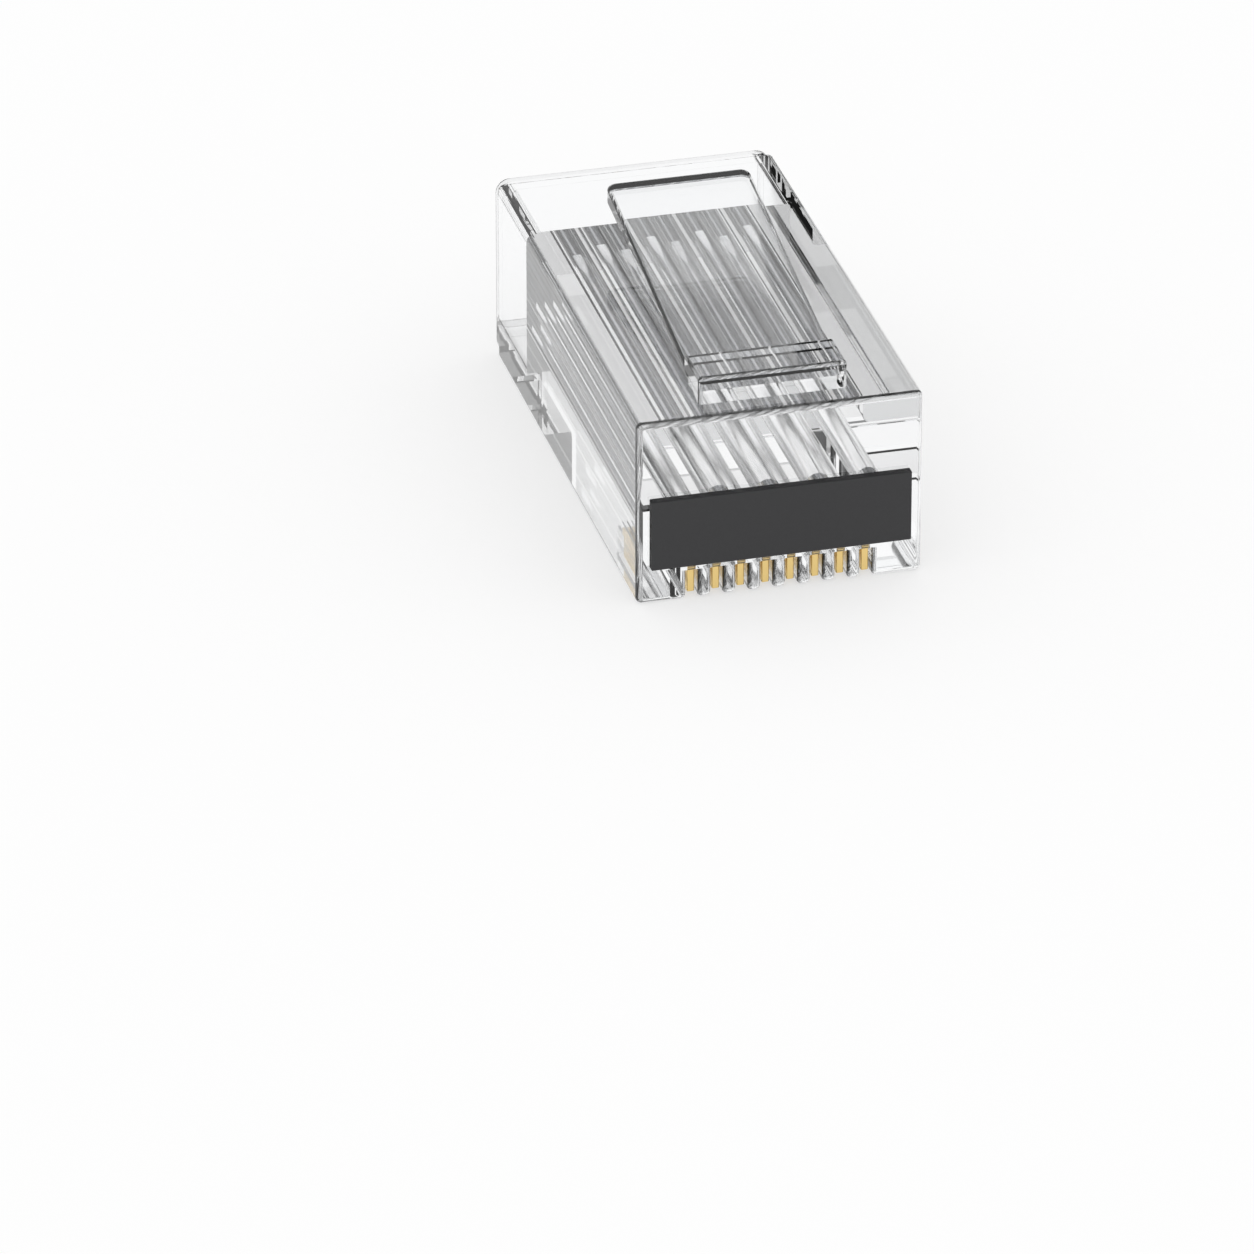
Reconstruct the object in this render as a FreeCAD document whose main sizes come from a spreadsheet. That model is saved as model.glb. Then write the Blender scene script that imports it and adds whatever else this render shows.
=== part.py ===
import FreeCAD, Part
import math
import os
import Sketcher

# Clear modular plug with eight contacts, a sprung latch lever on its upper face
# and a dark cap over the nose. Millimetres. X is the width, Y runs from the nose
# to the cable end, Z runs from the contact face up to the latch face.

DIMENSIONS = [
    ("body_width", 11.68),
    ("body_height", 7.97),
    ("body_length", 23.07),
    ("lip_length", 0.76),
    ("lip_recess", 0.05),
    ("lip_corner", 0.55),
    ("edge_round", 0.25),
    ("contact_count", 8),
    ("contact_pitch", 1.02),
    ("contact_thick", 0.31),
    ("contact_front", 0.24),
    ("contact_back", 3.73),
    ("contact_face", 0.19),
    ("contact_root", 1.52),
    ("contact_tip", 1.74),
    ("contact_round", 0.06),
    ("slot_width", 0.50),
    ("slot_back", 4.36),
    ("slot_floor", 1.30),
    ("slot_mouth", 0.17),
    ("seat_width", 0.35),
    ("seat_top", 1.78),
    ("seat_gap", 0.02),
    ("channel_radius", 0.52),
    ("channel_low", 3.38),
    ("channel_high", 4.40),
    ("cavity_front", 17.95),
    ("cavity_width", 10.70),
    ("cavity_floor", 1.45),
    ("cavity_roof", 7.53),
    ("cavity_corner", 0.30),
    ("cavity_lead", 0.15),
    ("cap_width", 10.64),
    ("cap_low", 1.62),
    ("cap_high", 4.66),
    ("cap_thick", 0.33),
    ("cap_round", 0.05),
    ("latch_width", 6.06),
    ("latch_front", 1.10),
    ("latch_heel", 1.50),
    ("latch_throat", 2.00),
    ("latch_throat_rise", 0.14),
    ("hook_height", 1.16),
    ("hook_back", 3.28),
    ("hook_round", 0.18),
    ("lever_width", 5.98),
    ("lever_root_high", 0.47),
    ("lever_end", 15.85),
    ("lever_end_low", 2.00),
    ("lever_end_high", 2.78),
    ("lever_corner", 0.40),
    ("lever_round", 0.14),
]

doc = FreeCAD.newDocument("modular_plug")
sheet = doc.addObject("Spreadsheet::Sheet", "dims")
for row, (alias, value) in enumerate(DIMENSIONS, start=1):
    sheet.set("A%d" % row, alias)
    sheet.set("B%d" % row, str(value))
    sheet.setAlias("B%d" % row, alias)
doc.recompute()

# The origin lies under the middle of the whole part, while sketches measure from the nose.
MIDDLE = "(dims.body_length - dims.cap_thick) / 2"
TOLERANCE = 1e-4
sub_parts = []


def new_body(label):
    body = doc.addObject("PartDesign::Body", label)
    body.Label = label
    body.setExpression("Placement.Base.y", "-" + MIDDLE)
    sub_parts.append(body)
    return body


def new_sketch(body, name, role, offset=None):
    plane = [item for item in body.Origin.OriginFeatures if item.Role == role][0]
    sketch = body.newObject("Sketcher::SketchObject", name)
    sketch.AttachmentSupport = [(plane, "")]
    sketch.MapMode = "FlatFace"
    if offset:
        sketch.setExpression("AttachmentOffset.Base.z", offset)
    return sketch


def bind(sketch, kind, geometry, point, start, text):
    """Hold one coordinate of a sketch point at an expression measured from the origin."""
    axis = {"DistanceX": -2, "DistanceY": -1}[kind]
    if text == "0":
        sketch.addConstraint(Sketcher.Constraint("PointOnObject", geometry, point, axis))
    elif text.startswith("-"):
        index = sketch.addConstraint(Sketcher.Constraint(kind, geometry, point, -1, 1, abs(start) + 1))
        sketch.setExpression("Constraints[%d]" % index, text[1:])
    else:
        index = sketch.addConstraint(Sketcher.Constraint(kind, -1, 1, geometry, point, abs(start) + 1))
        sketch.setExpression("Constraints[%d]" % index, text)


def draw_polygon(sketch, corners):
    """Draw a closed polygon whose corners are pairs of expressions."""
    count = len(corners)
    spots = []
    for step in range(count):
        angle = 2 * math.pi * step / count
        spots.append(FreeCAD.Vector(math.cos(angle), math.sin(angle), 0))
    for step in range(count):
        sketch.addGeometry(Part.LineSegment(spots[step], spots[(step + 1) % count]), False)
    for step in range(count):
        sketch.addConstraint(Sketcher.Constraint("Coincident", step, 2, (step + 1) % count, 1))
    for step, (across, upward) in enumerate(corners):
        bind(sketch, "DistanceX", step, 1, spots[step].x, across)
        bind(sketch, "DistanceY", step, 1, spots[step].y, upward)


def draw_box(sketch, left, right, low, high):
    draw_polygon(sketch, [(left, low), (right, low), (right, high), (left, high)])


def draw_circle(sketch, across, upward, radius):
    index = sketch.addGeometry(Part.Circle(FreeCAD.Vector(1, 1, 0), FreeCAD.Vector(0, 0, 1), 1), False)
    bind(sketch, "DistanceX", index, 3, 1, across)
    bind(sketch, "DistanceY", index, 3, 1, upward)
    held = sketch.addConstraint(Sketcher.Constraint("Radius", index, 1))
    sketch.setExpression("Constraints[%d]" % held, radius)


def extrude(body, kind, name, sketch, length, reverse=False):
    feature = body.newObject("PartDesign::" + kind, name)
    feature.Profile = sketch
    feature.setExpression("Length", length)
    feature.Reversed = reverse
    doc.recompute()
    return feature


def repeat(body, name, original, sketch, axis, length, count):
    pattern = body.newObject("PartDesign::LinearPattern", name)
    pattern.Originals = [original]
    pattern.Direction = (sketch, [axis])
    pattern.setExpression("Length", length)
    pattern.setExpression("Occurrences", count)
    body.Tip = pattern
    doc.recompute()
    return pattern


def soften(body, name, feature, wanted, size, kind="Fillet"):
    """Round or bevel the edges of the last feature that a test picks out."""
    edges = []
    for number, edge in enumerate(feature.Shape.Edges, start=1):
        if wanted(edge):
            edges.append("Edge%d" % number)
    softened = body.newObject("PartDesign::" + kind, name)
    softened.Base = (feature, edges)
    softened.setExpression("Radius" if kind == "Fillet" else "Size", size)
    doc.recompute()
    return softened


def reach(edge, axis):
    box = edge.BoundBox
    return {"x": (box.XMin, box.XMax), "y": (box.YMin, box.YMax), "z": (box.ZMin, box.ZMax)}[axis]


def lies_at(edge, axis, place):
    low, high = reach(edge, axis)
    return abs(low - place) < TOLERANCE and abs(high - place) < TOLERANCE


def runs_along(edge, axis):
    widths = [reach(edge, name)[1] - reach(edge, name)[0] for name in "xyz" if name != axis]
    return max(widths) < TOLERANCE


# Clear housing: a block with rounded edges and a slightly smaller, rounder lip at the cable end.
HALF_BODY = "dims.body_width / 2"
HALF_LIP = "(dims.body_width / 2 - dims.lip_recess)"
housing = new_body("housing")
lip_sketch = new_sketch(housing, "lip_outline", "XZ_Plane", "-dims.body_length")
draw_box(lip_sketch, "-" + HALF_LIP, HALF_LIP, "dims.lip_recess", "dims.body_height - dims.lip_recess")
lip = extrude(housing, "Pad", "lip", lip_sketch, "2 * dims.lip_length")
lip_round = soften(housing, "lip_round", lip, lambda edge: runs_along(edge, "y"), "dims.lip_corner")

block_sketch = new_sketch(housing, "block_outline", "XZ_Plane")
draw_box(block_sketch, "-" + HALF_BODY, HALF_BODY, "0", "dims.body_height")
block = extrude(housing, "Pad", "block", block_sketch, "dims.body_length - dims.lip_length", True)


def on_block_outside(edge):
    long_edge = runs_along(edge, "y") and abs(abs(reach(edge, "x")[0]) - sheet.body_width / 2) < TOLERANCE
    return long_edge or lies_at(edge, "y", 0)


block_round = soften(housing, "block_round", block, on_block_outside, "dims.edge_round")

# Contact slots: open at the nose, with rounded mouths that leave slim fins between them.
FIRST = "dims.contact_pitch * (dims.contact_count - 1) / 2"
SPAN = "dims.contact_pitch * (dims.contact_count - 1)"
slot_sketch = new_sketch(housing, "slot_outline", "XZ_Plane")
SLOT_LEFT = "(" + FIRST + " + dims.slot_width / 2)"
SLOT_RIGHT = "(" + FIRST + " - dims.slot_width / 2)"
draw_box(slot_sketch, "-" + SLOT_LEFT, "-" + SLOT_RIGHT, "0", "dims.slot_floor")
slot = extrude(housing, "Pocket", "slot", slot_sketch, "dims.slot_back")
slots = repeat(housing, "slots", slot, slot_sketch, "H_Axis", SPAN, "dims.contact_count")


def on_slot_mouth(edge):
    among_slots = abs(reach(edge, "x")[0]) < sheet.contact_pitch * sheet.contact_count / 2
    along_side = runs_along(edge, "y") and among_slots
    return lies_at(edge, "z", 0) and (along_side or lies_at(edge, "y", sheet.slot_back))


slot_mouths = soften(housing, "slot_mouths", slots, on_slot_mouth, "dims.slot_mouth")

# Narrow seats that grip the buried half of each contact blade.
seat_sketch = new_sketch(housing, "seat_outline", "XZ_Plane", "-(dims.contact_front - dims.seat_gap)")
SEAT_LEFT = "(" + FIRST + " + dims.seat_width / 2)"
SEAT_RIGHT = "(" + FIRST + " - dims.seat_width / 2)"
SEAT_LENGTH = "dims.contact_back - dims.contact_front + 2 * dims.seat_gap"
draw_box(seat_sketch, "-" + SEAT_LEFT, "-" + SEAT_RIGHT, "dims.slot_floor - dims.seat_gap", "dims.seat_top")
seat = extrude(housing, "Pocket", "seat", seat_sketch, SEAT_LENGTH)
seats = repeat(housing, "seats", seat, seat_sketch, "H_Axis", SPAN, "dims.contact_count")

# Thin-walled cable cavity at the back, over a thicker floor, with a bevelled mouth.
HALF_CAVITY = "dims.cavity_width / 2"
cavity_sketch = new_sketch(housing, "cavity_outline", "XZ_Plane", "-dims.body_length")
draw_box(cavity_sketch, "-" + HALF_CAVITY, HALF_CAVITY, "dims.cavity_floor", "dims.cavity_roof")
cavity = extrude(housing, "Pocket", "cavity", cavity_sketch, "dims.body_length - dims.cavity_front", True)


def on_cavity_corner(edge):
    outermost = abs(abs(reach(edge, "x")[0]) - sheet.cavity_width / 2) < TOLERANCE
    at_height = lies_at(edge, "z", sheet.cavity_roof) or lies_at(edge, "z", sheet.cavity_floor)
    return runs_along(edge, "y") and outermost and at_height


def on_cavity_mouth(edge):
    inside = abs(reach(edge, "x")[0]) < sheet.cavity_width / 2 + TOLERANCE
    return lies_at(edge, "y", sheet.body_length) and inside


cavity_round = soften(housing, "cavity_round", cavity, on_cavity_corner, "dims.cavity_corner")
cavity_lead = soften(housing, "cavity_lead", cavity_round, on_cavity_mouth, "dims.cavity_lead", "Chamfer")

# Wire channels in two staggered rows, right through from the nose to the cavity.
channel_sketch = new_sketch(housing, "channel_outline", "XZ_Plane")
for number in range(int(sheet.contact_count)):
    from_middle = number - (sheet.contact_count - 1) / 2
    across = "%sdims.contact_pitch * %s" % ("-" if from_middle < 0 else "", abs(from_middle))
    upward = "dims.channel_low" if number % 2 == 0 else "dims.channel_high"
    draw_circle(channel_sketch, across, upward, "dims.channel_radius")
channels = extrude(housing, "Pocket", "channels", channel_sketch, "dims.cavity_front")

# Dark cap lying on the nose, over the front of the wire channels.
HALF_CAP = "dims.cap_width / 2"
front_cap = new_body("front_cap")
cap_sketch = new_sketch(front_cap, "cap_outline", "XZ_Plane")
draw_box(cap_sketch, "-" + HALF_CAP, HALF_CAP, "dims.cap_low", "dims.cap_high")
cap = extrude(front_cap, "Pad", "cap", cap_sketch, "dims.cap_thick")
cap_round = soften(front_cap, "cap_round", cap, lambda edge: not lies_at(edge, "y", 0), "dims.cap_round")

# Contact blades: a straight bearing edge in the slot and two points towards the wires.
BLADE_LENGTH = "(dims.contact_back - dims.contact_front)"


def on_bearing_edge(edge):
    return reach(edge, "z")[1] < sheet.contact_face + TOLERANCE or lies_at(edge, "y", sheet.contact_front)


for number in range(1, int(sheet.contact_count) + 1):
    contact = new_body("contact_%d" % number)
    side = "dims.contact_pitch * (%d - (dims.contact_count + 1) / 2) - dims.contact_thick / 2" % number
    blade_sketch = new_sketch(contact, "blade_outline_%d" % number, "YZ_Plane", side)
    draw_polygon(blade_sketch, [
        ("dims.contact_front", "dims.contact_face"),
        ("dims.contact_back", "dims.contact_face"),
        ("dims.contact_back", "dims.contact_root"),
        ("dims.contact_front + %s * 3 / 4" % BLADE_LENGTH, "dims.contact_tip"),
        ("dims.contact_front + %s / 2" % BLADE_LENGTH, "dims.contact_root"),
        ("dims.contact_front + %s / 4" % BLADE_LENGTH, "dims.contact_tip"),
        ("dims.contact_front", "dims.contact_root"),
    ])
    blade = extrude(contact, "Pad", "blade_%d" % number, blade_sketch, "dims.contact_thick")
    soften(contact, "blade_round_%d" % number, blade, on_bearing_edge, "dims.contact_round")

# Latch: a rising lever, and a hook block that stands up from its root at the nose.
TOP = "dims.body_height + "
latch = new_body("latch")
lever_sketch = new_sketch(latch, "lever_outline", "YZ_Plane", "-dims.lever_width / 2")
draw_polygon(lever_sketch, [
    ("dims.latch_throat", TOP + "dims.latch_throat_rise"),
    ("dims.lever_end", TOP + "dims.lever_end_low"),
    ("dims.lever_end", TOP + "dims.lever_end_high"),
    ("dims.latch_throat", TOP + "dims.lever_root_high"),
])
lever = extrude(latch, "Pad", "lever", lever_sketch, "dims.lever_width")


def on_lever_corner(edge):
    return lies_at(edge, "y", sheet.lever_end) and runs_along(edge, "z")


def on_lever_rim(edge):
    return reach(edge, "y")[1] > sheet.latch_throat + TOLERANCE


lever_corners = soften(latch, "lever_corners", lever, on_lever_corner, "dims.lever_corner")
lever_round = soften(latch, "lever_round", lever_corners, on_lever_rim, "dims.lever_round")
hook_sketch = new_sketch(latch, "hook_outline", "YZ_Plane", "-dims.latch_width / 2")
draw_polygon(hook_sketch, [
    ("dims.latch_front", "dims.body_height"),
    ("dims.latch_heel", "dims.body_height"),
    ("dims.latch_throat", TOP + "dims.latch_throat_rise"),
    ("dims.hook_back", TOP + "dims.lever_root_high"),
    ("dims.hook_back", TOP + "dims.hook_height"),
    ("dims.latch_front", TOP + "dims.hook_height"),
])
hook = extrude(latch, "Pad", "hook", hook_sketch, "dims.latch_width")


def on_hook_rim(edge):
    upright = runs_along(edge, "z") and lies_at(edge, "y", sheet.latch_front)
    return upright or lies_at(edge, "z", sheet.body_height + sheet.hook_height)


hook_round = soften(latch, "hook_round", hook, on_hook_rim, "dims.hook_round")

for item in doc.Objects:
    if "Invalid" in item.State or "Error" in item.State:
        raise RuntimeError("%s failed to build" % item.Name)
for body in sub_parts:
    if body.Shape.isNull() or not body.Shape.isValid() or len(body.Shape.Solids) != 1:
        raise RuntimeError("%s is not one valid solid" % body.Label)

os.makedirs("parts", exist_ok=True)
for body in sub_parts:
    body.Shape.exportStep(os.path.join("parts", body.Label + ".step"))
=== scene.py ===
import math

import bmesh
import bpy
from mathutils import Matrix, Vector
from mathutils.kdtree import KDTree


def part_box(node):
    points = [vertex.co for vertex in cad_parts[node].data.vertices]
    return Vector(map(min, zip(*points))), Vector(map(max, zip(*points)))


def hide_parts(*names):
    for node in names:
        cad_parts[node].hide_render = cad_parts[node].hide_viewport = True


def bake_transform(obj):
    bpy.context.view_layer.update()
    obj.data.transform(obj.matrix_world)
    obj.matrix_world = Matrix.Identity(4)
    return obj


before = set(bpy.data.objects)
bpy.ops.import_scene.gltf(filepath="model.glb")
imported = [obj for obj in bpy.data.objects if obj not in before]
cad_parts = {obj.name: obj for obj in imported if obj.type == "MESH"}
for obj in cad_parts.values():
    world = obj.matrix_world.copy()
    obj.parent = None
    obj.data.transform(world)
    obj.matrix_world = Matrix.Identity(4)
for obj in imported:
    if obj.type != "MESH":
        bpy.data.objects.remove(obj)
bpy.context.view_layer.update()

MM = 0.001
LATCH_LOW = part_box("latch")[0]
CONTACTS = sorted(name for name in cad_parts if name.startswith("contact_"))

# Camera: the viewing angle and the framing of the photograph.
FRAME_PIXELS = 1254
FOCAL_PIXELS = 10354.7
SENSOR_WIDTH = 36.0
CAMERA_PLACE = Vector((-97.664, -359.873, 192.604)) * MM
CAMERA_TURN = 14.70
CAMERA_TILT = 28.24
CAMERA_NEAR = 0.01

# Joining the moulding: weld distance, and how near and how alike a face is whose normals
# are taken over.
WELD = 2e-7
NORMAL_REACH = 2e-6
SAME_FACE = 0.9

# Latch root: the height over which it flexes, and the corners of the clear fill under the hook.
ROOT_LOW = LATCH_LOW + Vector((0.08, 0.25, -0.30)) * MM
ROOT_HIGH = Vector((-ROOT_LOW.x, LATCH_LOW.y + 1.95 * MM, LATCH_LOW.z + 0.32 * MM))

# Wire channels: pitch, heights of the two rows and radius. A face belongs to a channel's wall if
# it lies this near to the radius and its normal leans no further along the plug than this.
PITCH = 1.02 * MM
CHANNEL_LOW = 3.38 * MM
CHANNEL_HIGH = 4.40 * MM
CHANNEL_RADIUS = 0.52 * MM
CHANNEL_SLACK = 0.04 * MM
CHANNEL_LEAN = 0.1

# Clear plastic: refraction, flow marks, and the tint with the least and most haze of the shell
# and of the channel walls. The channel walls' grey tint is painted shade: it darkens the wire
# channels, which are the same clear plastic as the shell.
PLASTIC_IOR = 1.585
FLOW_SCALE, FLOW_DETAIL = 420.0, 2.0
FLOW_RANGE = (0.3, 0.7)
FLOW_STRENGTH, FLOW_DEPTH = 0.02, 0.02 * MM
SHELL_TINT, SHELL_HAZE = (0.97, 0.975, 0.98, 1), (0.0, 0.012)
CHANNEL_SHADE_TINT, CHANNEL_HAZE = (0.80, 0.81, 0.83, 1), (0.14, 0.20)

# Dark cap: two tones of its fine grain.
CAP_DARK, CAP_LIGHT = (0.024, 0.024, 0.026, 1), (0.030, 0.030, 0.032, 1)
CAP_ROUGHNESS = 0.55
GRAIN_SCALE, GRAIN_DETAIL = 9000.0, 3.0
GRAIN_STRENGTH, GRAIN_DEPTH = 0.15, 0.01 * MM

# Gold contacts: rolling marks along the blades.
GOLD = (0.90, 0.66, 0.27, 1)
GOLD_HAZE = (0.12, 0.26)
MARK_SCALE, MARK_DETAIL = (6000.0, 900.0, 6000.0), 3.0
MARK_RANGE = (0.2, 0.8)
MARK_STRENGTH, MARK_DEPTH = 0.06, 0.005 * MM

# Floor, just under the plug: its own colour, and how far it is lifted to white where it shows as
# background.
FLOOR_SIZE = 3.0
FLOOR_LEVEL = -0.02 * MM
FLOOR_COLOUR = (0.97, 0.97, 0.97, 1)
FLOOR_LIFT = 0.6
WHITE = (1, 1, 1, 1)

# Studio: the level at which it lights matte surfaces, and its levels where it shows as background:
# in front, behind, in the softbox there and above the softbox.
LIGHTING_LEVEL = 1.0
FRONT_LEVEL = 0.3
BACK_LEVEL = 0.08
SOFTBOX_LEVEL = 1.0
UPPER_LEVEL = 0.8

# Softbox: its right edge at one height and how far that leans, its left end, foot and head, and
# how soft each one is. All are slopes sideways and upwards over the way back.
PANEL_EDGE = 0.2800
PANEL_EDGE_HEIGHT = 0.511
PANEL_LEAN = 0.1425
PANEL_END = -1.2
PANEL_FOOT = 0.04
PANEL_HEAD = 0.75
EDGE_SOFT = 0.0006
END_SOFT = 0.05
FOOT_SOFT = 0.03
HEAD_SOFT = 0.05

# Where the studio's front turns into its back, where the softbox begins, and where the studio meets
# the floor, as parts of a direction. The way back is taken as at least a little.
TURN = (-0.1, 0.05)
BEHIND = (0.05, 0.10)
LEAST_WAY_BACK = 0.02
HORIZON = (0.0, 0.02)


def make_camera():
    camera = bpy.data.cameras.new("camera")
    camera.sensor_width = SENSOR_WIDTH
    camera.lens = FOCAL_PIXELS / FRAME_PIXELS * SENSOR_WIDTH
    camera.clip_start = CAMERA_NEAR
    holder = bpy.data.objects.new("camera", camera)
    holder.location = CAMERA_PLACE
    holder.rotation_euler = (math.radians(90 - CAMERA_TILT), 0, math.radians(-CAMERA_TURN))
    bpy.context.scene.collection.objects.link(holder)
    bpy.context.scene.camera = holder


class Nodes:
    """A short way to add and join the nodes of one material or world."""

    def __init__(self, tree):
        self.tree = tree
        self.tree.nodes.clear()

    def add(self, kind, settings=None, **inputs):
        node = self.tree.nodes.new(kind)
        for name, value in (settings or {}).items():
            setattr(node, name, value)
        for name, value in inputs.items():
            self.put(node, name.replace("_", " "), value)
        return node

    def put(self, node, name, value):
        """Set an input, given by its name or as i and its number, to a value or an output."""
        numbered = name[0] == "i" and name[1:].isdigit()
        socket = node.inputs[int(name[1:]) if numbered else name]
        if hasattr(value, "is_output"):
            self.tree.links.new(value, socket)
        else:
            socket.default_value = value

    def math(self, operation, first, second):
        node = self.add("ShaderNodeMath", {"operation": operation})
        self.put(node, "i0", first)
        self.put(node, "i1", second)
        return node.outputs[0]

    def ramp(self, value, low, high, bottom=0.0, top=1.0):
        """Smooth step from bottom to top as value goes from low to high."""
        node = self.add("ShaderNodeMapRange", {"interpolation_type": "SMOOTHSTEP"})
        names = ("Value", "From Min", "From Max", "To Min", "To Max")
        for name, number in zip(names, (value, low, high, bottom, top)):
            self.put(node, name, number)
        return node.outputs[0]


def new_material(name):
    material = bpy.data.materials.new(name)
    material.use_nodes = True
    return material, Nodes(material.node_tree)


def clear_material(name, tint, least, most):
    """Clear plastic with a tint, whose surface haze varies between two roughnesses."""
    material, nodes = new_material(name)
    place = nodes.add("ShaderNodeTexCoord").outputs["Object"]
    flow = nodes.add("ShaderNodeTexNoise", Vector=place, Scale=FLOW_SCALE, Detail=FLOW_DETAIL)
    haze = nodes.ramp(flow.outputs[0], *FLOW_RANGE, least, most)
    bump = nodes.add("ShaderNodeBump", Strength=FLOW_STRENGTH, Distance=FLOW_DEPTH,
                     Height=flow.outputs[0])
    # For the channel walls the tint is grey, painted shade in the wire channels.
    shader = nodes.add("ShaderNodeBsdfPrincipled", Base_Color=tint, IOR=PLASTIC_IOR, Roughness=haze,
                       Normal=bump.outputs[0])
    shader.inputs["Transmission Weight"].default_value = 1.0
    out = nodes.add("ShaderNodeOutputMaterial")
    nodes.put(out, "Surface", shader.outputs[0])
    return material


def cap_material():
    material, nodes = new_material("dark_cap")
    place = nodes.add("ShaderNodeTexCoord").outputs["Object"]
    grain = nodes.add("ShaderNodeTexNoise", Vector=place, Scale=GRAIN_SCALE, Detail=GRAIN_DETAIL)
    tone = nodes.add("ShaderNodeValToRGB")
    nodes.put(tone, "Fac", grain.outputs[0])
    tone.color_ramp.elements[0].color = CAP_DARK
    tone.color_ramp.elements[1].color = CAP_LIGHT
    bump = nodes.add("ShaderNodeBump", Strength=GRAIN_STRENGTH, Distance=GRAIN_DEPTH,
                     Height=grain.outputs[0])
    shader = nodes.add("ShaderNodeBsdfPrincipled", Base_Color=tone.outputs[0],
                       Roughness=CAP_ROUGHNESS, Normal=bump.outputs[0])
    out = nodes.add("ShaderNodeOutputMaterial")
    nodes.put(out, "Surface", shader.outputs[0])
    return material


def contact_material():
    material, nodes = new_material("gold_contact")
    place = nodes.add("ShaderNodeTexCoord").outputs["Object"]
    stretch = nodes.add("ShaderNodeMapping", Vector=place, Scale=MARK_SCALE)
    marks = nodes.add("ShaderNodeTexNoise", Vector=stretch.outputs[0], Scale=1.0, Detail=MARK_DETAIL)
    rough = nodes.ramp(marks.outputs[0], *MARK_RANGE, *GOLD_HAZE)
    bump = nodes.add("ShaderNodeBump", Strength=MARK_STRENGTH, Distance=MARK_DEPTH,
                     Height=marks.outputs[0])
    shader = nodes.add("ShaderNodeBsdfPrincipled", Base_Color=GOLD, Metallic=1.0, Roughness=rough,
                       Normal=bump.outputs[0])
    out = nodes.add("ShaderNodeOutputMaterial")
    nodes.put(out, "Surface", shader.outputs[0])
    return material


def paint(piece, material):
    piece.data.materials.clear()
    piece.data.materials.append(material)


def copy_of(node, name):
    """A welded copy of a node's mesh, without its stored normals."""
    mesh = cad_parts[node].data.copy()
    mesh.name = name
    mesh.normals_split_custom_set([(0, 0, 0)] * len(mesh.loops))
    shape = bmesh.new()
    shape.from_mesh(mesh)
    bmesh.ops.remove_doubles(shape, verts=shape.verts, dist=WELD)
    shape.to_mesh(mesh)
    shape.free()
    piece = bpy.data.objects.new(name, mesh)
    bpy.context.scene.collection.objects.link(piece)
    return piece


def make_box(name, low, high):
    mesh = bpy.data.meshes.new(name)
    corners = [(x, y, z) for x in (low.x, high.x) for y in (low.y, high.y) for z in (low.z, high.z)]
    sides = [(0, 1, 3, 2), (4, 6, 7, 5), (0, 4, 5, 1), (2, 3, 7, 6), (0, 2, 6, 4), (1, 5, 7, 3)]
    mesh.from_pydata(corners, [], sides)
    piece = bpy.data.objects.new(name, mesh)
    bpy.context.scene.collection.objects.link(piece)
    return piece


def apply_modifiers(piece):
    graph = bpy.context.evaluated_depsgraph_get()
    mesh = bpy.data.meshes.new_from_object(piece.evaluated_get(graph),
                                           preserve_all_data_layers=True, depsgraph=graph)
    piece.modifiers.clear()
    piece.data = mesh


def take_normals(mesh, nodes):
    """Give a joined mesh the exact surface normals that its nodes have at the same corners."""
    spots, faces, normals = [], [], []
    for node in nodes:
        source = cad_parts[node].data
        for face in source.polygons:
            for corner in face.loop_indices:
                spots.append(source.vertices[source.loops[corner].vertex_index].co)
                faces.append(face.normal.copy())
                normals.append(source.corner_normals[corner].vector.copy())
    tree = KDTree(len(spots))
    for number, spot in enumerate(spots):
        tree.insert(spot, number)
    tree.balance()
    taken = [None] * len(mesh.loops)
    for face in mesh.polygons:
        for corner in face.loop_indices:
            spot = mesh.vertices[mesh.loops[corner].vertex_index].co
            near = [number for _, number, _ in tree.find_range(spot, NORMAL_REACH)]
            best = max(near, key=lambda number: faces[number].dot(face.normal), default=None)
            known = best is not None and faces[best].dot(face.normal) > SAME_FACE
            taken[corner] = normals[best] if known else face.normal.copy()
    mesh.shade_smooth()
    mesh.normals_split_custom_set(taken)


def on_channel(place):
    for number in range(len(CONTACTS)):
        across = (number - (len(CONTACTS) - 1) / 2) * PITCH
        upward = CHANNEL_LOW if number % 2 == 0 else CHANNEL_HIGH
        if abs(math.hypot(place.x - across, place.z - upward) - CHANNEL_RADIUS) < CHANNEL_SLACK:
            return True
    return False


def make_moulding(material, channel_shade_material):
    """Housing and latch as the single clear moulding that they are."""
    moulding = copy_of("housing", "clear_moulding")
    lever = copy_of("latch", "lever")
    root = make_box("root", ROOT_LOW, ROOT_HIGH)
    for other in (lever, root):
        union = moulding.modifiers.new("union", "BOOLEAN")
        union.operation = "UNION"
        union.solver = "EXACT"
        union.object = other
    apply_modifiers(moulding)
    for other in (lever, root):
        bpy.data.objects.remove(other)
    take_normals(moulding.data, ("housing", "latch"))
    paint(moulding, material)
    # The channel walls take the second material, whose grey tint is painted shade.
    moulding.data.materials.append(channel_shade_material)
    for face in moulding.data.polygons:
        if abs(face.normal.y) < CHANNEL_LEAN and on_channel(face.center):
            face.material_index = 1
    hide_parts("housing", "latch")
    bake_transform(moulding)


def background_rays(nodes):
    """1 for rays by which the camera, a mirror or clear plastic shows the background, 0 for others."""
    path = nodes.add("ShaderNodeLightPath").outputs
    mirrored_or_through = nodes.math("MAXIMUM", path["Is Glossy Ray"], path["Is Transmission Ray"])
    return nodes.math("MAXIMUM", path["Is Camera Ray"], mirrored_or_through)


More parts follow.
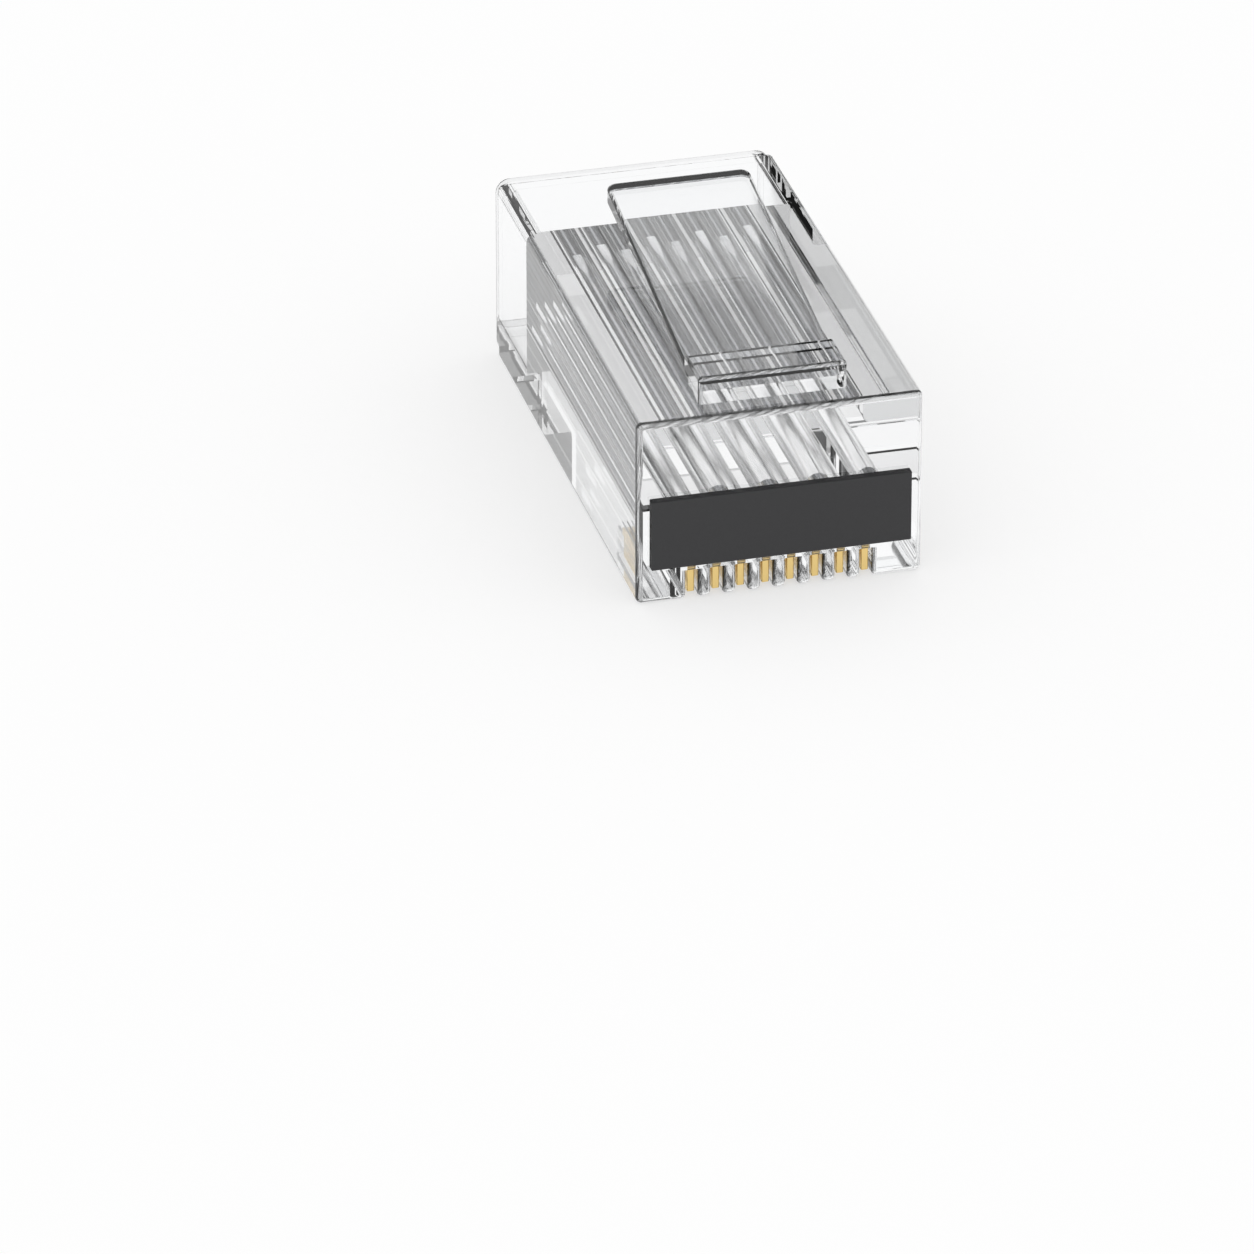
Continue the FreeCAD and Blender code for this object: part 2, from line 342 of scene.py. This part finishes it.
def floor_material():
    """Pale, with the shadow of the plug, and lifted towards white wherever it shows as background."""
    material, nodes = new_material("floor")
    pale = nodes.add("ShaderNodeBsdfDiffuse", Color=FLOOR_COLOUR)
    white = nodes.add("ShaderNodeEmission", Color=WHITE, Strength=1.0)
    shown = nodes.add("ShaderNodeMixShader")
    nodes.put(shown, "i0", nodes.math("MULTIPLY", background_rays(nodes), FLOOR_LIFT))
    nodes.put(shown, "i1", pale.outputs[0])
    nodes.put(shown, "i2", white.outputs[0])
    out = nodes.add("ShaderNodeOutputMaterial")
    nodes.put(out, "Surface", shown.outputs[0])
    return material


def make_floor():
    mesh = bpy.data.meshes.new("floor")
    corners = [(x * FLOOR_SIZE, y * FLOOR_SIZE, FLOOR_LEVEL)
               for x, y in ((-1, -1), (1, -1), (1, 1), (-1, 1))]
    mesh.from_pydata(corners, [], [(0, 1, 2, 3)])
    floor = bpy.data.objects.new("floor", mesh)
    bpy.context.scene.collection.objects.link(floor)
    paint(floor, floor_material())


def make_world():
    """Plain light, and as background a dim studio with a white softbox and a pale zone above it."""
    world = bpy.data.worlds.new("studio")
    world.use_nodes = True
    bpy.context.scene.world = world
    nodes = Nodes(world.node_tree)
    direction = nodes.add("ShaderNodeTexCoord").outputs["Generated"]
    parts = nodes.add("ShaderNodeSeparateXYZ", Vector=direction).outputs
    x, y, z = parts[0], parts[1], parts[2]

    behind = nodes.ramp(y, *BEHIND)
    way_back = nodes.math("MAXIMUM", y, LEAST_WAY_BACK)
    sideways = nodes.math("DIVIDE", x, way_back)
    height = nodes.math("DIVIDE", z, way_back)
    lean = nodes.add("ShaderNodeMath", {"operation": "MULTIPLY_ADD"})
    nodes.put(lean, "i0", height)
    nodes.put(lean, "i1", PANEL_LEAN)
    nodes.put(lean, "i2", PANEL_EDGE - PANEL_LEAN * PANEL_EDGE_HEIGHT)
    past_edge = nodes.math("SUBTRACT", sideways, lean.outputs[0])
    left_of_edge = nodes.ramp(past_edge, 0.0, EDGE_SOFT, 1.0, 0.0)
    right_of_end = nodes.ramp(sideways, PANEL_END, PANEL_END + END_SOFT)
    over_foot = nodes.ramp(height, PANEL_FOOT, PANEL_FOOT + FOOT_SOFT)
    under_head = nodes.ramp(height, PANEL_HEAD, PANEL_HEAD + HEAD_SOFT, 1.0, 0.0)
    panel = behind
    for mask in (left_of_edge, right_of_end, over_foot, under_head):
        panel = nodes.math("MULTIPLY", panel, mask)
    upper = nodes.math("MULTIPLY", behind, nodes.ramp(height, PANEL_HEAD, PANEL_HEAD + HEAD_SOFT))
    above = nodes.ramp(z, *HORIZON)
    background = nodes.math("MULTIPLY", above, nodes.ramp(y, *TURN, FRONT_LEVEL, BACK_LEVEL))
    for mask, zone in ((panel, SOFTBOX_LEVEL), (upper, UPPER_LEVEL)):
        brighter = nodes.math("MULTIPLY", mask, zone - BACK_LEVEL)
        background = nodes.math("ADD", background, brighter)
    level = nodes.add("ShaderNodeMix", {"data_type": "FLOAT"})
    nodes.put(level, "i0", background_rays(nodes))
    nodes.put(level, "i2", LIGHTING_LEVEL)
    nodes.put(level, "i3", background)
    back = nodes.add("ShaderNodeBackground", Color=WHITE, Strength=level.outputs[0])
    out = nodes.add("ShaderNodeOutputWorld")
    nodes.put(out, "Surface", back.outputs[0])


# The channel walls' material is greyed as painted shade.
make_moulding(clear_material("clear_shell", SHELL_TINT, *SHELL_HAZE),
              clear_material("clear_channel_shaded", CHANNEL_SHADE_TINT, *CHANNEL_HAZE))
paint(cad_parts["front_cap"], cap_material())
gold = contact_material()
for name in CONTACTS:
    paint(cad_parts[name], gold)

make_floor()
make_world()
make_camera()
bpy.context.scene.view_settings.view_transform = "Standard"
